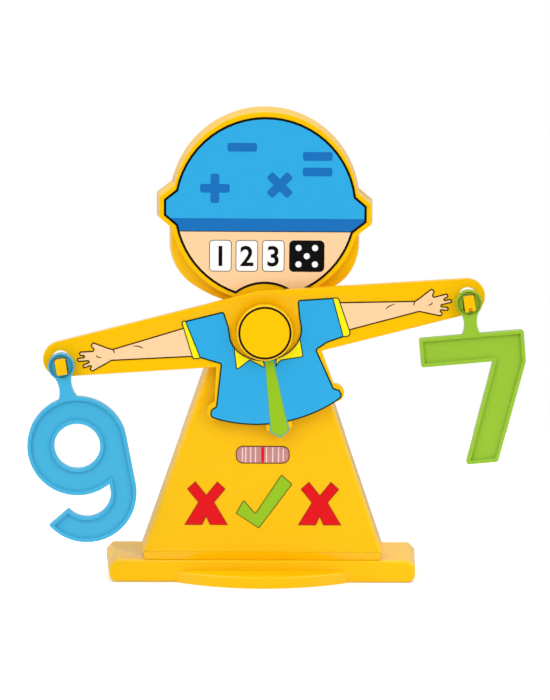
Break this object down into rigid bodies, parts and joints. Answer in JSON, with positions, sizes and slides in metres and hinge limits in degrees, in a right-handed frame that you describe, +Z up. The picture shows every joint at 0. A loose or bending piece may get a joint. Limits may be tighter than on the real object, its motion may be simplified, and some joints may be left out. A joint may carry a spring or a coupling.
{
  "type": "number balance toy",
  "caption": "Child-figure number balance in moulded plastic: a tilting arm beam on a stand, with a nine and a seven hanging from its pegs.",
  "frame": {"origin": "on the floor, at the middle of the base", "axes": "+X to the right as the figure is seen from the front, +Y to the back, +Z up"},
  "size_m": [0.4237, 0.1035, 0.4102],
  "materials": {
    "yellow_plastic": "glossy moulded, through-coloured",
    "beam_plastic": "glossy moulded, through-coloured",
    "blue_plastic": "glossy moulded, through-coloured",
    "green_plastic": "glossy moulded, through-coloured",
    "steel": "zinc plated",
    "head_print": "printed film, glossy",
    "hub_print": "printed film, glossy",
    "shirt_print": "printed film, glossy",
    "hand_print": "printed film, glossy",
    "scale_print": "printed film, glossy",
    "red_print": "printed film, glossy",
    "green_print": "printed film, glossy"
  },
  "bodies": {
    "stand": {"base_housing": "yellow_plastic", "front_shell": "yellow_plastic", "rear_cover": "yellow_plastic", "hub_cap": "yellow_plastic", "pivot_washer": "steel", "pivot_screw": "steel", "cover_screws": "steel", "base_screws": "steel", "head_label": "head_print", "hub_label": "hub_print", "scale_label": "scale_print", "cross_label_left": "red_print", "cross_label_right": "red_print", "tick_label": "green_print"},
    "beam": {"balance_beam": "beam_plastic", "shirt_label": "shirt_print", "arm_label_left": "hand_print", "arm_label_right": "hand_print"},
    "nine": {"digit_nine": "blue_plastic"},
    "seven": {"digit_seven": "green_plastic"}
  },
  "joints": [
    {"name": "beam_tilt", "type": "hinge", "parent": "stand", "child": "beam", "pos_m": [0, 0, 0.2216], "axis": [0, 1, 0], "range_deg": [0, 18.4]},
    {"name": "digit_nine_pull", "type": "slide", "parent": "beam", "child": "nine", "axis": [0, -1, 0], "range_m": [0, 0.03]},
    {"name": "digit_seven_pull", "type": "slide", "parent": "beam", "child": "seven", "axis": [0, -1, 0], "range_m": [0, 0.03]}
  ]
}
